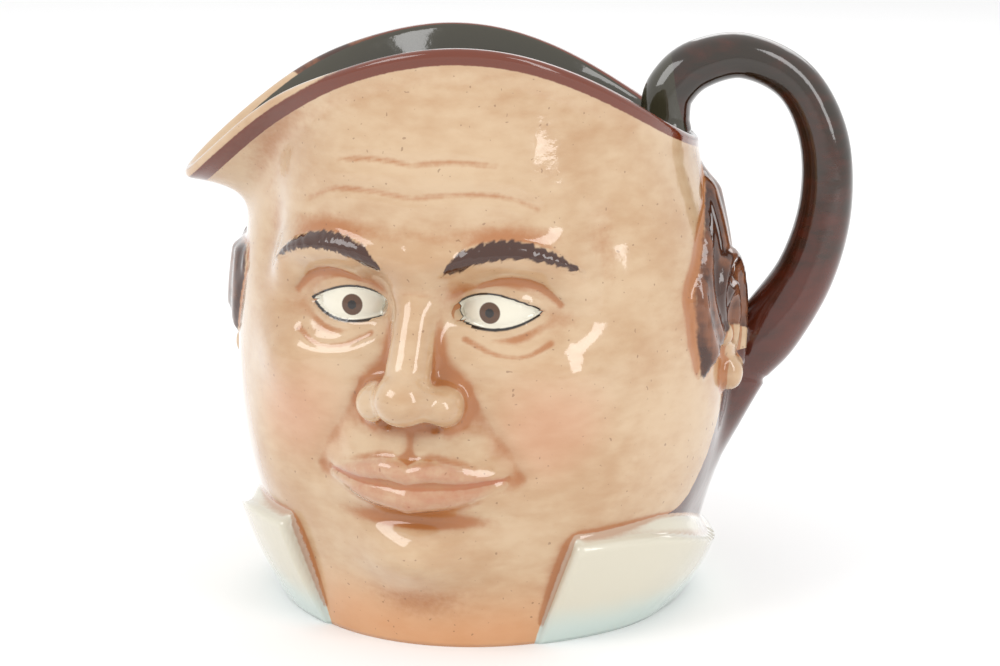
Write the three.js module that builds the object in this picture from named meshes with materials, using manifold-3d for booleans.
// A large toby jug: one hollow fired piece in the shape of a head. The open crown is the rim,
// drawn out to a pouring spout over one temple, and a strap-thick loop handle springs from the
// rim over the other temple and runs down behind the ear into a turned-down collar.
// Millimetres, +Z up. The origin is the middle of the underside; -Y is the way the face looks.
import * as THREE from "three";
import { mergeVertices } from "three/addons/utils/BufferGeometryUtils.js";
import Module from "manifold-3d";

// ---- driving dimensions
const EYE_HEIGHT = 94;
const NOSE_HEIGHT = 70;
const MOUTH_HEIGHT = 49;
const CHIN_HEIGHT = 26;
const SPOUT_TURN = THREE.MathUtils.degToRad(-72);
const HANDLE_TURN = THREE.MathUtils.degToRad(108);
const CREST_HEIGHT = 159.7;
const WALL_THICKNESS = 5;
const LIP_THICKNESS = 3.6;
const FLOOR_THICKNESS = 6;
const FLOOR_FILLET = 9;
const COLLAR_HEIGHT = 29.5;
// the body is modelled on a fine grid and then thinned to this many triangles
const TRIANGLES = 9800;
const INSIDE_CARE = 0.3;
const FEATURE_CARE = 3;
const FACE_SPAN = 45;
const EAR_SPAN = [88, 114];
const FEATURE_HEIGHTS = [36, 112];
const LENGTH_COST = 1e-4;
const COLUMNS = 300;
const ROWS = 150;
const INNER_COLUMNS = COLUMNS / 2;
const INNER_ROWS = 30;
const LIP_STEPS = 5;
const HANDLE_RINGS = 80;
const HANDLE_SIDES = 28;
// arc lengths round the head are counted from the middle of the face on a circle of this radius
const GIRTH_RADIUS = 63;
const LOCK_PITCH = 22;
// the plain head: height, half width, depth to the front, depth to the back
const HEAD_LEVELS = [
  [0, 53.5, 58, 58],
  [18, 60, 60, 61],
  [40, 67.6, 62, 66],
  [65, 71.2, 63, 69],
  [92, 70, 63, 69],
  [118, 64.5, 63, 66],
  [140, 57, 62, 59],
  [165, 53, 60, 55],
];

// ---- small mathematics
const { sin, cos, exp, abs, min, max, hypot, sqrt, atan2, PI } = Math;
const square = (value) => value * value;
const mix = (from, to, share) => from + (to - from) * share;
const clamp = (value, low, high) => min(max(value, low), high);

function ease(value, from, to) {
  const share = clamp((value - from) / (to - from), 0, 1);
  return share * share * (3 - 2 * share);
}

function wrapTurn(turn) {
  return atan2(sin(turn), cos(turn));
}

// a smooth line through rows of [place, value, value, ...]
function throughRows(rows, place, column) {
  const last = rows.length - 1;
  let row = 0;
  while (row < last - 1 && rows[row + 1][0] <= place) {
    row += 1;
  }
  const slopeAt = (index) => {
    const before = rows[max(index - 1, 0)];
    const here = rows[index];
    const after = rows[min(index + 1, last)];
    if (before === here || after === here) {
      return (after[column] - before[column]) / (after[0] - before[0]);
    }
    const back = here[0] - before[0];
    const ahead = after[0] - here[0];
    const slopeBack = (here[column] - before[column]) / back;
    const slopeAhead = (after[column] - here[column]) / ahead;
    return (slopeBack * ahead + slopeAhead * back) / (back + ahead);
  };
  const span = rows[row + 1][0] - rows[row][0];
  const t = (place - rows[row][0]) / span;
  const t2 = t * t;
  const t3 = t2 * t;
  return (2 * t3 - 3 * t2 + 1) * rows[row][column]
    + (t3 - 2 * t2 + t) * span * slopeAt(row)
    + (3 * t2 - 2 * t3) * rows[row + 1][column]
    + (t3 - t2) * span * slopeAt(row + 1);
}

// rows of control values turned into a closer-set smooth chain
function smoothChain(rows, count) {
  const numbered = rows.map((row, index) => [index, ...row]);
  return Array.from({ length: count }, (_, step) => {
    const place = (step * (rows.length - 1)) / (count - 1);
    return rows[0].map((_value, column) => throughRows(numbered, place, column + 1));
  });
}

// joining and cutting with a soft edge of the given width
function softMin(a, b, width) {
  const near = max(width - abs(a - b), 0) / width;
  return min(a, b) - (near * near * near * width) / 6;
}
const softMax = (a, b, width) => -softMin(-a, -b, width);

// ---- the plain head wall
function oval(turn, side, front, back) {
  const squash = ((front + back) / 2 - side) / 2;
  return side + squash + ((front - back) / 2) * cos(turn) + squash * cos(2 * turn);
}

function headRadius(turn, height) {
  const [side, front, back] = [1, 2, 3].map((column) => throughRows(HEAD_LEVELS, height, column));
  return oval(turn, side, front, back);
}

// 1 in the middle of the spout, falling off more slowly towards the back of the head
function spoutShare(turn, width) {
  const aside = wrapTurn(turn - SPOUT_TURN);
  return exp(-square(aside / (aside < 0 ? 1.22 * width : width)));
}

// the rim is an arch over the line from the spout to the handle
function rimHeight(turn) {
  const reach = oval(turn, 55.5, 62, 57) + 25 * spoutShare(turn, 0.42);
  const toHandle = -reach * cos(turn - SPOUT_TURN);
  const toFace = reach * sin(turn - SPOUT_TURN);
  return CREST_HEIGHT - 0.00706 * square(toHandle + 8) + toFace / 20;
}

// pads of clay that model the broad forms of the face, both sides alike:
// arc length from the middle, height, half width, half height, thickness
const PADS = [
  [0, 134, 34, 20, 1.2],
  [20, 131, 15, 12, 0.9],
  [10, EYE_HEIGHT + 14.5, 8, 5, 1.8],
  [22, EYE_HEIGHT + 16.5, 10, 4.6, 3],
  [34, EYE_HEIGHT + 14.5, 9, 5, 3],
  [44, EYE_HEIGHT + 8, 7, 7, 2.2],
  [0, EYE_HEIGHT + 14, 6, 7, 1.5],
  [0, EYE_HEIGHT + 4.5, 7, 5, -1],
  [25, EYE_HEIGHT + 1.5, 14, 9, -5.5],
  [12.5, EYE_HEIGHT + 3, 5.5, 7, -3.5],
  [41, EYE_HEIGHT - 1, 6, 6, -1],
  [26, EYE_HEIGHT - 11.5, 12, 4, 1],
  [40, EYE_HEIGHT - 15, 13, 9, 3.2],
  [33, EYE_HEIGHT - 25, 14, 11, 2.4],
  [0, MOUTH_HEIGHT + 1, 24, 17, 7],
  [0, CHIN_HEIGHT, 15, 9, 8],
  [0, CHIN_HEIGHT + 12, 16, 3.4, -3.4],
  [49, MOUTH_HEIGHT + 1, 16, 18, 2.6],
  [26.5, MOUTH_HEIGHT, 4.5, 4.5, -1.3],
  [17, NOSE_HEIGHT - 6, 4, 5, -1.1],
  [22, NOSE_HEIGHT - 13, 4, 5, -1.1],
  [53, 112, 9, 14, -2.2],
];

function padThickness(turn, height) {
  const along = abs(wrapTurn(turn)) * GIRTH_RADIUS;
  let total = 0;
  for (const [place, level, halfWidth, halfHeight, thickness] of PADS) {
    const tall = exp(-square((height - level) / halfHeight));
    let share = exp(-square((along - place) / halfWidth)) * tall;
    if (place > 0 && place < 2 * halfWidth) {
      share += exp(-square((along + place) / halfWidth)) * tall;
    }
    total += thickness * share;
  }
  return total;
}

// outer radius of the modelled head, flared at the rim and drawn out under the spout
function wallRadius(turn, height) {
  const below = max(rimHeight(turn) - height, 0);
  const flare = 2.5 * exp(-below / 7) + 17 * spoutShare(turn, 0.454) * exp(-below / 3);
  return headRadius(turn, height) + flare + padThickness(turn, height) * ease(below, 4, 14);
}

// a place on the head, by arc length from the middle of the face, height and distance out
function onHead(along, height, out) {
  const turn = along / GIRTH_RADIUS;
  const reach = wallRadius(turn, height) + out;
  return [reach * sin(turn), -reach * cos(turn), height];
}

// ---- lumps and rolls of clay: the distance from a point to their surface, and the ball
// that holds them, beyond which they make no difference
function lump(along, height, out, across, deep, tall) {
  const [x0, y0, z0] = onHead(along, height, out);
  const turn = along / GIRTH_RADIUS;
  const distance = (x, y, z) => {
    const dx = x - x0;
    const dy = y - y0;
    const u = dx * cos(turn) + dy * sin(turn);
    const v = dy * cos(turn) - dx * sin(turn);
    const w = z - z0;
    const scaled = hypot(u / across, v / deep, w / tall);
    const steep = hypot(u / square(across), v / square(deep), w / square(tall));
    return (scaled * (scaled - 1)) / max(steep, 1e-9);
  };
  return { distance, middle: [x0, y0, z0], extent: max(across, deep, tall) };
}

function roll(rows, count = 9) {
  const chain = smoothChain(rows.map(([along, height, out, radius]) => [
    ...onHead(along, height, out), radius,
  ]), count);
  const distance = (x, y, z) => {
    let nearest = Infinity;
    for (let link = 0; link < chain.length - 1; link += 1) {
      const [ax, ay, az, ar] = chain[link];
      const [bx, by, bz, br] = chain[link + 1];
      const [ex, ey, ez] = [bx - ax, by - ay, bz - az];
      const dot = (x - ax) * ex + (y - ay) * ey + (z - az) * ez;
      const share = clamp(dot / (ex * ex + ey * ey + ez * ez), 0, 1);
      const gap = hypot(x - ax - share * ex, y - ay - share * ey, z - az - share * ez);
      nearest = min(nearest, gap - mix(ar, br, share));
    }
    return nearest;
  };
  const middle = [0, 1, 2].map((axis) => {
    const places = chain.map((point) => point[axis]);
    return (max(...places) + min(...places)) / 2;
  });
  const away = chain.map(([x, y, z, radius]) => hypot(x - middle[0], y - middle[1], z - middle[2]) + radius);
  return { distance, middle, extent: max(...away) };
}

// ---- the modelled features, each laid on (+1) or cut away (-1) with a soft edge;
// a roll's rows are arc length, height, distance out and radius
const FEATURES = [
  // nose: bridge, tip, wings, wing creases, nostrils
  [1, roll([[0, 107, -6, 5.5], [0, 99, -3.4, 5.2], [0, 90, 0.6, 5.4], [0, 81, 4.4, 6]]), 7],
  [1, lump(0, NOSE_HEIGHT + 3.2, 8.6, 7.8, 8.2, 7.2), 6],
  [1, lump(8.6, NOSE_HEIGHT + 0.6, 2.2, 5.6, 7.6, 5.4), 6.5],
  [-1, roll([[14.6, 75, 1.3, 0.6], [15.8, 70, 1.5, 0.8], [14, 65.5, 1.3, 0.6]], 5), 2.8],
  [-1, roll([[4.4, 65, 5.6, 1.9], [6.2, 65.2, 2, 2.3]], 3), 1.6],
  // the groove over the upper lip
  [-1, roll([[0, 62.5, 1, 1.2], [0, 57, 1.7, 2.2]], 4), 3],
  // upper lip, lower lip and the closed line between them
  [1, roll([
    [23.5, 49.4, -0.6, 0.8], [14, 51.2, -0.8, 2.4],
    [5.5, 52.7, -0.6, 3], [0, 51.4, -0.6, 2.8],
  ]), 2.8],
  [1, roll([[22.5, 48.6, -0.8, 0.8], [12, 46.2, -0.8, 3], [0, 44.8, -0.6, 4.1]]), 2.8],
  [-1, roll([[25, 49.8, 0.4, 0.5], [14, 49, 1.9, 0.8], [6, 48.7, 2.9, 0.8], [0, 49.1, 2.9, 0.8]]), 1.8],
  // crease over each upper lid and a faint one under the eye
  [-1, roll([
    [14, 97.5, 0.6, 0.6], [19.5, 101.8, 0.4, 0.9], [27, 103.4, 0.2, 0.9], [34, 101.4, 0.2, 0.9],
    [39.5, 96.5, 0.6, 0.6],
  ]), 2.6],
  [-1, roll([[14, 88, 0.8, 0.6], [21, 84.5, 0.7, 0.7], [29, 84, 0.7, 0.7], [36, 87, 0.8, 0.5]]), 3.5],
  // the soft fold from nose to mouth
  [-1, roll([[16.5, 70, 1.5, 0.6], [20.5, 63, 1.4, 0.8], [25.5, 56, 1.4, 0.7], [28, 50, 1.5, 0.5]]), 5],
  // two faint lines across the forehead
  [-1, roll([[0, 125.5, 1.2, 0.5], [12, 127, 1.1, 0.6], [24, 126.5, 1.1, 0.6], [33, 123, 1.3, 0.4]]), 3.5],
  [-1, roll([[0, 134.5, 1.2, 0.5], [11, 135.6, 1.1, 0.6], [22, 134.6, 1.3, 0.4]]), 3.5],
  // ears: body, outer roll, lobe, bowl, inner groove, front flap
  [1, lump(103, 84, 0.2, 8.5, 4, 16), 2.5],
  [1, roll([
    [95.5, 84, 0.6, 1.6], [94.5, 92, 1.2, 2], [98, 99, 2.2, 2.3], [104.5, 101, 3, 2.4],
    [110, 96, 3.6, 2.3], [111.5, 87, 3.6, 2.2], [109.5, 78, 3, 2.2], [104.5, 70.5, 2.4, 2.7],
  ], 15), 1.4],
  [1, lump(101, 68, 1.6, 4.4, 3.6, 5), 2.5],
  [-1, lump(100, 84, 4, 4.6, 3.4, 7), 1.8],
  [-1, roll([
    [100, 94.5, 4.2, 1.5], [105.5, 95.5, 4.6, 1.7], [107.5, 88, 4.8, 1.6], [106, 79, 4.2, 1.3],
  ], 8), 1.6],
  [1, lump(95.5, 80.5, 1.4, 2.4, 2.6, 3.4), 1.6],
];

// ---- eyes: a ball behind two lids that leave an almond opening
const EYE = {
  along: 26, out: -9.5, radius: 12.6, lid: 1.6, halfWidth: 13, above: 5.6, below: 3.7, tilt: 0.05,
};
const EYE_CENTRE = onHead(EYE.along, EYE_HEIGHT, EYE.out);

function eyeOpening(x, z) {
  const across = x - EYE_CENTRE[0];
  const up = z - EYE_HEIGHT - EYE.tilt * across;
  const share = across / EYE.halfWidth;
  const arc = 1 - share * share;
  const skew = 0.25 * share * arc;
  return 0.85 * max(up - EYE.above * (arc - skew), -EYE.below * (arc + skew) - up);
}

function withEye(x, y, z, clay) {
  const dome = hypot(x - EYE_CENTRE[0], y - EYE_CENTRE[1], z - EYE_CENTRE[2]) - EYE.radius;
  if (dome > 9) {
    return clay;
  }
  const opening = eyeOpening(x, z);
  const lids = softMax(dome - EYE.lid, -opening, 0.7);
  const opened = softMax(softMin(clay, lids, 3.5), -max(opening, dome - 4), 0.7);
  return min(opened, dome);
}

// ---- hair: a mass with broad wavy locks, from the temples round the back of the head
// 0 between two locks and 1 along the middle of one
function lockShare(along, height) {
  const sway = 4.5 * sin(height / 14 + 0.6) + 2 * sin(height / 6.5);
  return abs(cos(((along + sway) * PI) / LOCK_PITCH));
}

// distance inside the painted edge of the hair
function insideHairline(turn, height) {
  const signed = wrapTurn(turn);
  const along = abs(signed) * GIRTH_RADIUS;
  const spoutSide = signed < 0;
  const front = along - (spoutSide ? 69 : 81 + 0.02 * square(max(height - 88, 0)));
  const pastTip = along - (spoutSide ? 78 : 84);
  const sideburn = (spoutSide ? 75 : 69) + max(1.2 * pastTip, -2.5 * pastTip);
  const nape = 82 - 16 * ease(along, 108, 118) - 20 * ease(along, 116, 150) - 3.5 * lockShare(along, height);
  const low = height - (along < 97 ? sideburn : nape);
  const crown = (spoutSide ? 104 + 62 * ease(along, 88, 128) : 400) - height;
  return softMin(softMin(front, low * 0.8, 2), crown * 0.7, 3);
}

function hairThickness(turn, height) {
  const share = ease(insideHairline(turn, height), -0.5, 2.2);
  if (share === 0) {
    return 0;
  }
  const lock = lockShare(abs(wrapTurn(turn)) * GIRTH_RADIUS, height);
  return share * (1.3 + 2.3 * lock) * ease(rimHeight(turn) - height, 5, 14);
}

// ---- collar: turned down all round the neck and open under the chin; its flap leans out from
// the foot to the fold, and behind the fold a shallow trough rises to the band round the neck
function collarDistance(x, y, z) {
  const turn = atan2(x, -y);
  const degrees = THREE.MathUtils.radToDeg(abs(turn));
  const reach = hypot(x, y);
  const foldHeight = COLLAR_HEIGHT - 11.5 * ease(degrees, 50, 112);
  const neckHeight = COLLAR_HEIGHT + 2.8 - 10 * ease(degrees, 62, 108);
  const footReach = headRadius(turn, 0) + 1 + 3 * ease(degrees, 32, 75) + 2 * ease(degrees, 75, 105);
  const foldReach = headRadius(turn, foldHeight) + 5.5 + 3.5 * ease(degrees, 40, 90);
  const share = z / foldHeight;
  const flap = mix(footReach, foldReach, share) + 1.2 * sin(PI * clamp(share, 0, 1));
  const inward = clamp((foldReach - reach) / (foldReach - headRadius(turn, neckHeight)), -0.2, 1.2);
  const trough = 2.6 * ease(degrees, 55, 92) * sin(PI * clamp(inward / 0.75, 0, 1));
  const rise = 0.5 * clamp(inward, 0, 1) + 0.5 * ease(inward, 0.4, 0.95);
  const band = mix(foldHeight, neckHeight, rise) - trough;
  const frontEdge = 32 + 7.5 * clamp(z / COLLAR_HEIGHT, 0, 1.1);
  const front = THREE.MathUtils.degToRad(frontEdge - degrees) * reach;
  return softMax(softMax(0.97 * (reach - flap), 0.9 * (z - band), 2.4), front, 2.2);
}

// ---- the ridge by which the handle's foot runs down the neck
// reach from the axis, height, thickness radius
const RIDGE_ROWS = [
  [78, 69.3, 8.5],
  [74.2, 63.3, 8.7],
  [70.8, 57.3, 8.6],
  [67, 50.3, 8.4],
  [62.3, 42.5, 8.2],
  [58.7, 33, 8],
  [56.5, 24, 8],
];
const RIDGE = smoothChain(RIDGE_ROWS, 10);

function ridgeDistance(x, y, z) {
  const reach = x * sin(HANDLE_TURN) - y * cos(HANDLE_TURN);
  const wider = 1 + 0.9 * ease(66 - z, 0, 30);
  const aside = (x * cos(HANDLE_TURN) + y * sin(HANDLE_TURN)) / wider;
  let nearest = Infinity;
  for (let link = 0; link < RIDGE.length - 1; link += 1) {
    const [ar, az, aRadius] = RIDGE[link];
    const [br, bz, bRadius] = RIDGE[link + 1];
    const length2 = square(br - ar) + square(bz - az);
    const share = clamp(((reach - ar) * (br - ar) + (z - az) * (bz - az)) / length2, 0, 1);
    const gap = hypot(reach - mix(ar, br, share), aside, z - mix(az, bz, share));
    nearest = min(nearest, gap - mix(aRadius, bRadius, share));
  }
  return nearest;
}

// distance from a point to the whole modelled outside, handle loop apart
function clayDistance(x, y, z) {
  const turn = atan2(x, -y);
  const height = clamp(z, 0, 170);
  let clay = hypot(x, y) - wallRadius(turn, height) - hairThickness(turn, height);
  for (const [side, { distance, middle, extent }, softness] of FEATURES) {
    const away = hypot(abs(x) - middle[0], y - middle[1], z - middle[2]);
    if (away < extent + softness + 3) {
      const gap = distance(abs(x), y, z);
      clay = side > 0 ? softMin(clay, gap, softness) : softMax(clay, -gap, softness);
    } else if (side > 0) {
      clay = min(clay, away - extent);
    }
  }
  clay = withEye(abs(x), y, z, clay);
  if (z < 80) {
    clay = softMin(clay, ridgeDistance(x, y, z), 7);
  }
  if (z < COLLAR_HEIGHT + 14) {
    clay = softMin(clay, collarDistance(x, y, z), 1.2);
  }
  return clay;
}

// ---- the grid that is laid over the outside
// places from 0 to 1 set closer where the given weight is larger
function spacedPlaces(count, weight) {
  const fine = 4000;
  const sums = [0];
  for (let step = 1; step <= fine; step += 1) {
    sums.push(sums[step - 1] + weight((step - 0.5) / fine));
  }
  const places = [];
  let step = 0;
  for (let index = 0; index <= count; index += 1) {
    const goal = (sums[fine] * index) / count;
    while (step < fine - 1 && sums[step + 1] < goal) {
      step += 1;
    }
    places.push((step + (goal - sums[step]) / (sums[step + 1] - sums[step])) / fine);
  }
  return places;
}

function columnWeight(share) {
  const turn = abs(2 * PI * share - PI);
  return 1 + 1.5 * exp(-((turn / 0.85) ** 4)) + exp(-square((turn - 1.62) / 0.17));
}

function rowWeight(share) {
  return 1 + 0.9 * exp(-(((share - 0.46) / 0.31) ** 4)) + 2.2 * exp(-(1 - share) / 0.03);
}

const FREE_BELOW_RIM = 6;
const CAST_REACH = 26;
const SETTLING_ROUNDS = 16;

function slopeOfClay(point) {
  const small = 0.05;
  const here = clayDistance(point.x, point.y, point.z);
  const slope = new THREE.Vector3(
    clayDistance(point.x + small, point.y, point.z) - here,
    clayDistance(point.x, point.y + small, point.z) - here,
    clayDistance(point.x, point.y, point.z + small) - here,
  ).divideScalar(small);
  return [here, slope];
}

// moves a point straight on to the clay's surface in the given number of steps
function settle(point, onFoot, steps) {
  let slope;
  for (let step = 0; step < steps; step += 1) {
    let here;
    [here, slope] = slopeOfClay(point);
    if (onFoot) {
      slope.z = 0;
    }
    const stride = clamp(-here / max(slope.lengthSq(), 0.25), -1.5, 1.5);
    point.addScaledVector(slope, stride);
  }
  return slope.normalize();
}

function outerGrid() {
  const turns = spacedPlaces(COLUMNS, columnWeight).slice(0, COLUMNS).map((share) => 2 * PI * share - PI);
  const levels = spacedPlaces(ROWS - 1, rowWeight);
  const grid = levels.map((level) => turns.map((turn) => {
    const height = rimHeight(turn) * level;
    const reach = wallRadius(turn, height);
    const point = new THREE.Vector3(reach * sin(turn), -reach * cos(turn), height);
    point.free = rimHeight(turn) - height > FREE_BELOW_RIM;
    return point;
  }));
  // let each free point fall inwards until it meets the clay
  for (const point of grid.flat().filter(({ free }) => free)) {
    const inward = new THREE.Vector3(-point.x, -point.y, 0).normalize();
    point.addScaledVector(inward, -CAST_REACH);
    for (let round = 0; round < 60; round += 1) {
      const gap = clayDistance(point.x, point.y, point.z);
      if (gap < 0.03) {
        break;
      }
      point.addScaledVector(inward, gap * 0.85);
    }
  }
  // then even the points out along the surface
  for (let round = 0; round < SETTLING_ROUNDS; round += 1) {
    const pulls = grid.map((row, level) => row.map((point, column) => {
      if (!point.free) {
        return null;
      }
      const normal = settle(point, level === 0, 1);
      const sides = [row[(column + 1) % COLUMNS], row[(column + COLUMNS - 1) % COLUMNS]];
      if (level > 0) {
        sides.push(grid[level - 1][column], grid[level + 1][column]);
      }
      const pull = new THREE.Vector3();
      sides.forEach((side) => pull.addScaledVector(side, 1 / sides.length));
      pull.sub(point).addScaledVector(normal, -pull.dot(normal));
      if (level === 0) {
        pull.z = 0;
      }
      return pull;
    }));
    grid.forEach((row, level) => row.forEach((point, column) => {
      if (pulls[level][column]) {
        point.addScaledVector(pulls[level][column], 0.6);
      }
    }));
  }
  grid.forEach((row, level) => row.forEach((point) => point.free && settle(point, level === 0, 3)));
  return grid;
}

// ---- the inside: the plain wall set back by its thickness, with a rounded lip and floor
function plainPoint(turn, level) {
  const height = rimHeight(turn) * level;
  const below = rimHeight(turn) - height;
  const flare = 2.5 * exp(-below / 7) + 17 * spoutShare(turn, 0.454) * exp(-below / 3);
  const hollow = padThickness(turn, height) * ease(below, 4, 14);
  const behindNose = 6 * exp(-square((wrapTurn(turn) * GIRTH_RADIUS) / 9) - square((height - 76) / 12));
  const reach = headRadius(turn, height) + flare + hollow + behindNose;
  return new THREE.Vector3(reach * sin(turn), -reach * cos(turn), height);
}

function plainFrame(turn, level) {
  const small = 1e-3;
  const here = plainPoint(turn, level);
  const up = here.clone().sub(plainPoint(turn, level - small)).normalize();
  const round = plainPoint(turn + small, level).sub(plainPoint(turn - small, level)).normalize();
  const out = new THREE.Vector3().crossVectors(round, up).normalize();
  return { here, up, out };
}

function lipRing(turns, angle) {
  return turns.map((turn) => {
    const { here, up, out } = plainFrame(turn, 1);
    const half = LIP_THICKNESS / 2;
    return here.addScaledVector(out, half * (cos(angle) - 1)).addScaledVector(up, half * sin(angle));
  });
}

function innerRing(turns, depthShare) {
  return turns.map((turn) => {
    const lowest = FLOOR_THICKNESS / rimHeight(turn);
    const level = 1 - depthShare * (1 - lowest);
    const { here, out } = plainFrame(turn, level);
    const thickness = mix(WALL_THICKNESS, LIP_THICKNESS, exp(-(rimHeight(turn) - here.z) / 5));
    here.addScaledVector(out, -thickness);
    const intoFillet = clamp(1 - (here.z - FLOOR_THICKNESS) / FLOOR_FILLET, 0, 1);
    const setBack = FLOOR_FILLET * (1 - sqrt(1 - square(intoFillet)));
    const reach = hypot(here.x, here.y);
    here.multiply(new THREE.Vector3(1 - setBack / reach, 1 - setBack / reach, 1));
    here.z = max(here.z, FLOOR_THICKNESS);
    return here;
  });
}

// ---- closed bodies from rings of points
class RingBody {
  constructor() {
    this.positions = [];
    this.faces = [];
  }

  add(points) {
    const first = this.positions.length / 3;
    points.forEach(({ x, y, z }) => this.positions.push(x, y, z));
    return points.map((_, index) => first + index);
  }

  // joins two rings whose counts divide evenly, the first being the lower or outer one
  bridge(lower, upper) {
    const ratio = lower.length / upper.length;
    lower.forEach((corner, index) => {
      const next = lower[(index + 1) % lower.length];
      const above = upper[Math.floor(index / ratio)];
      const aboveNext = upper[Math.floor((index + 1) / ratio) % upper.length];
      this.faces.push(corner, next, aboveNext === above ? above : aboveNext);
      if (aboveNext !== above) {
        this.faces.push(corner, aboveNext, above);
      }
    });
  }

  close(ring, centre) {
    const [middle] = this.add([centre]);
    ring.forEach((corner, index) => this.faces.push(corner, ring[(index + 1) % ring.length], middle));
  }

  geometry() {
    const geometry = new THREE.BufferGeometry();
    geometry.setAttribute("position", new THREE.Float32BufferAttribute(this.positions, 3));
    geometry.setIndex(this.faces);
    return geometry;
  }
}

function vesselGeometry() {
  const grid = outerGrid();
  const turns = grid[ROWS - 1].map(({ x, y }) => atan2(x, -y));
  const innerTurns = turns.filter((_, index) => index % (COLUMNS / INNER_COLUMNS) === 0);
  const body = new RingBody();
  const rings = grid.map((row) => body.add(row));
  for (let step = 1; step < LIP_STEPS; step += 1) {
    rings.push(body.add(lipRing(turns, (PI * step) / LIP_STEPS)));
  }
  for (let step = 0; step < INNER_ROWS; step += 1) {
    const share = (step / (INNER_ROWS - 1)) ** 1.25;
    rings.push(body.add(innerRing(innerTurns, share)));
  }
  for (let index = 1; index < rings.length; index += 1) {
    body.bridge(rings[index - 1], rings[index]);
  }
  body.close(rings[rings.length - 1], new THREE.Vector3(0, 0, FLOOR_THICKNESS));
  body.close([...rings[0]].reverse(), new THREE.Vector3(0, 0, 0));
  return body.geometry();
}

// ---- the loop handle: reach from the axis, height, thickness radius
const HANDLE_ROWS = [
  [54.5, 127, 5],
  [52.8, 132.5, 7.5],
  [52.6, 138.5, 7.1],
  [54, 145.8, 7.2],
  [61.4, 152.8, 7.1],
  [75, 155.3, 6.5],
  [89.7, 147.9, 6.5],
  [98, 132, 7.1],
  [99.1, 112, 7.7],
  [94, 93, 8.5],
  [84.3, 77.3, 9.6],
  [77.5, 68.5, 8.9],
  [73, 61.5, 7],
  [70, 56, 4.5],
];

function handleGeometry() {
  const chain = smoothChain(HANDLE_ROWS, HANDLE_RINGS);
  const outward = new THREE.Vector3(sin(HANDLE_TURN), -cos(HANDLE_TURN), 0);
  const aside = new THREE.Vector3(cos(HANDLE_TURN), sin(HANDLE_TURN), 0);
  const centres = chain.map(([reach, height]) => outward.clone().multiplyScalar(reach).setZ(height));
  const body = new RingBody();
  const rings = chain.map(([, , radius], index) => {
    const before = centres[max(index - 1, 0)];
    const after = centres[min(index + 1, chain.length - 1)];
    const along = after.clone().sub(before).normalize();
    const across = new THREE.Vector3().crossVectors(aside, along).normalize();
    return body.add(Array.from({ length: HANDLE_SIDES }, (_, corner) => {
      const angle = (2 * PI * corner) / HANDLE_SIDES;
      return centres[index].clone()
        .addScaledVector(across, radius * cos(angle))
        .addScaledVector(aside, radius * sin(angle));
    }));
  });
  for (let index = 1; index < rings.length; index += 1) {
    body.bridge(rings[index - 1], rings[index]);
  }
  body.close(rings[rings.length - 1], centres[centres.length - 1]);
  body.close([...rings[0]].reverse(), centres[0]);
  return body.geometry();
}

// ---- joining
const wasm = await Module();
wasm.setup();

function solidFrom(geometry) {
  const merged = mergeVertices(geometry, 1e-4);
  const vertProperties = new Float32Array(merged.getAttribute("position").array);
  const triVerts = new Uint32Array(merged.getIndex().array);
  return new wasm.Manifold(new wasm.Mesh({ numProp: 3, vertProperties, triVerts }));
}

function geometryFrom(solid) {
  const { vertProperties, triVerts } = solid.getMesh();
  const geometry = new THREE.BufferGeometry();
  geometry.setAttribute("position", new THREE.BufferAttribute(vertProperties, 3));
  geometry.setIndex(new THREE.BufferAttribute(triVerts, 1));
  return geometry;
}

// ---- thinning: two neighbouring points become one where that changes the surface least, which
// is told by the summed squared distances to the planes of the faces round them
class CostQueue {
  constructor() {
    this.items = [];
  }

  push(item) {
    const { items } = this;
    let child = items.push(item) - 1;
    while (child > 0) {
      const parent = (child - 1) >> 1;
      if (items[parent].cost <= item.cost) {
        break;
      }
      items[child] = items[parent];
      child = parent;
    }
    items[child] = item;
  }

  pop() {
    const { items } = this;
    const first = items[0];
    const moved = items.pop();
    if (items.length === 0) {
      return first;
    }
    let parent = 0;
    for (;;) {
      let child = 2 * parent + 1;
      if (child + 1 < items.length && items[child + 1].cost < items[child].cost) {
        child += 1;
      }
      if (child >= items.length || items[child].cost >= moved.cost) {
        break;
      }
      items[parent] = items[child];
      parent = child;
    }
    items[parent] = moved;
    return first;
  }
}

// the sum of squared distances to a set of planes, as its ten coefficients
class PlaneSum {
  constructor() {
    this.terms = new Float64Array(10);
  }

  addPlane({ x, y, z }, offset, weight) {
    const row = [x, y, z, offset];
    let term = 0;
    for (let a = 0; a < 4; a += 1) {
      for (let b = a; b < 4; b += 1) {
        this.terms[term] += weight * row[a] * row[b];
        term += 1;
      }
    }
  }

  add(other) {
    other.terms.forEach((value, term) => {
      this.terms[term] += value;
    });
    return this;
  }

  at({ x, y, z }) {
    const [xx, xy, xz, xo, yy, yz, yo, zz, zo, oo] = this.terms;
    return xx * x * x + yy * y * y + zz * z * z + oo
      + 2 * (xy * x * y + xz * x * z + yz * y * z + xo * x + yo * y + zo * z);
  }

  // the place with the least sum, drawn a little towards the given one
  lowest(near) {
    const [xx, xy, xz, xo, yy, yz, yo, zz, zo] = this.terms;
    const pull = 1e-3 * (xx + yy + zz) + 1e-12;
    const sides = new THREE.Matrix3().set(xx + pull, xy, xz, xy, yy + pull, yz, xz, yz, zz + pull);
    const goal = near.clone().multiplyScalar(pull).sub(new THREE.Vector3(xo, yo, zo));
    return goal.applyMatrix3(sides.invert());
  }
}

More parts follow.
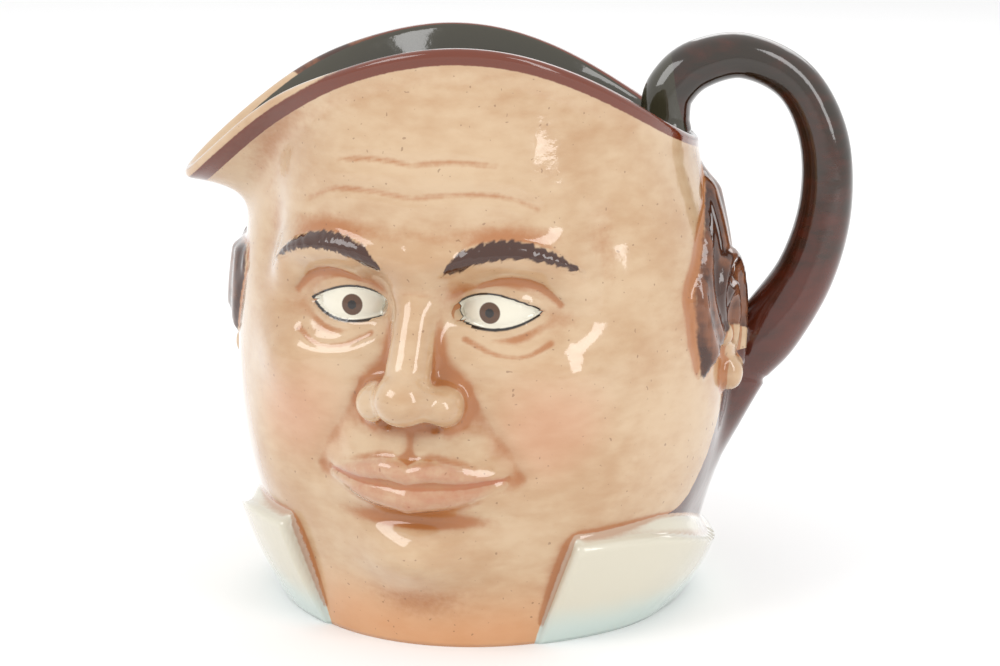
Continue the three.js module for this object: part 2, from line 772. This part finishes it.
// the outside is kept truer than the inside, and the face and ears truest
function careFor({ x, y, z }, normal) {
  if (normal.x * x + normal.y * y < 0) {
    return INSIDE_CARE;
  }
  const along = abs(atan2(x, -y)) * GIRTH_RADIUS;
  const onFace = along < FACE_SPAN;
  const onEar = along > EAR_SPAN[0] && along < EAR_SPAN[1];
  const level = z > FEATURE_HEIGHTS[0] && z < FEATURE_HEIGHTS[1];
  return level && (onFace || onEar) ? FEATURE_CARE : 1;
}

function thinned(geometry, goal) {
  const position = geometry.getAttribute("position");
  const index = geometry.getIndex();
  const places = Array.from({ length: position.count }, (_, corner) => (
    new THREE.Vector3().fromBufferAttribute(position, corner)));
  const faces = Array.from({ length: index.count / 3 }, (_, face) => (
    [0, 1, 2].map((corner) => index.getX(3 * face + corner))));
  const facesRound = places.map(() => new Set());
  const sums = places.map(() => new PlaneSum());
  const ages = places.map(() => 0);
  const normalOf = (corners) => {
    const [a, b, c] = corners;
    return b.clone().sub(a).cross(c.clone().sub(a));
  };
  faces.forEach((face, name) => {
    const normal = normalOf(face.map((corner) => places[corner]));
    const weight = careFor(places[face[0]], normal) * normal.length();
    normal.normalize();
    face.forEach((corner) => {
      facesRound[corner].add(name);
      sums[corner].addPlane(normal, -normal.dot(places[face[0]]), weight);
    });
  });
  const neighbours = (corner) => new Set([...facesRound[corner]].flatMap((name) => faces[name])
    .filter((other) => other !== corner));
  const onFoot = (corner) => places[corner].z < 1e-3;
  const fanCentre = (corner) => hypot(places[corner].x, places[corner].y) < 1e-3;

  const queue = new CostQueue();
  const offer = (a, b) => {
    if (fanCentre(a) || fanCentre(b)) {
      return;
    }
    const total = new PlaneSum().add(sums[a]).add(sums[b]);
    const middle = places[a].clone().add(places[b]).multiplyScalar(0.5);
    let place = total.lowest(middle);
    if (onFoot(a) !== onFoot(b)) {
      place = places[onFoot(a) ? a : b].clone();
    } else if (onFoot(a)) {
      place.z = 0;
    }
    const cost = total.at(place) + LENGTH_COST * places[a].distanceToSquared(places[b]);
    queue.push({ cost, a, b, place, age: ages[a] + ages[b] });
  };
  // whether the faces that stay round a corner keep their side and a fair shape
  const staysSound = (corner, other, place) => [...facesRound[corner]].every((name) => {
    if (faces[name].includes(other)) {
      return true;
    }
    const before = normalOf(faces[name].map((each) => places[each]));
    const corners = faces[name].map((each) => (each === corner ? place : places[each]));
    const after = normalOf(corners);
    const longest = max(...corners.map((each, k) => each.distanceToSquared(corners[(k + 1) % 3])));
    return after.dot(before) > 0.3 * after.length() * before.length() && after.length() > 0.06 * longest;
  });

  faces.forEach((face) => face.forEach((corner, k) => {
    const next = face[(k + 1) % 3];
    if (corner < next) {
      offer(corner, next);
    }
  }));
  let left = faces.length;
  while (left > goal && queue.items.length > 0) {
    const { a, b, place, age } = queue.pop();
    if (facesRound[a].size === 0 || facesRound[b].size === 0 || age !== ages[a] + ages[b]) {
      continue;
    }
    const beside = neighbours(b);
    const shared = [...neighbours(a)].filter((corner) => beside.has(corner));
    if (shared.length !== 2 || !staysSound(a, b, place) || !staysSound(b, a, place)) {
      continue;
    }
    for (const name of facesRound[b]) {
      if (faces[name].includes(a)) {
        faces[name].forEach((corner) => corner !== b && facesRound[corner].delete(name));
        faces[name] = null;
        left -= 1;
      } else {
        faces[name] = faces[name].map((corner) => (corner === b ? a : corner));
        facesRound[a].add(name);
      }
    }
    facesRound[b] = new Set();
    places[a] = place;
    sums[a].add(sums[b]);
    ages[a] += 1;
    ages[b] += 1;
    neighbours(a).forEach((corner) => offer(a, corner));
  }

  const kept = places.map((_, corner) => corner).filter((corner) => facesRound[corner].size > 0);
  const renamed = new Map(kept.map((corner, name) => [corner, name]));
  const result = new THREE.BufferGeometry();
  result.setAttribute("position", new THREE.Float32BufferAttribute(
    kept.flatMap((corner) => places[corner].toArray()), 3));
  result.setIndex(faces.filter((face) => face).flatMap((face) => face.map((corner) => renamed.get(corner))));
  return result;
}

const glaze = new THREE.MeshStandardMaterial({ color: 0xdcbf99, roughness: 0.12, metalness: 0 });
const fired = solidFrom(vesselGeometry()).add(solidFrom(handleGeometry()));
const jug = new THREE.Mesh(thinned(geometryFrom(fired), TRIANGLES), glaze);
jug.name = "jug";
const part = new THREE.Group();
part.add(jug);

export default part;
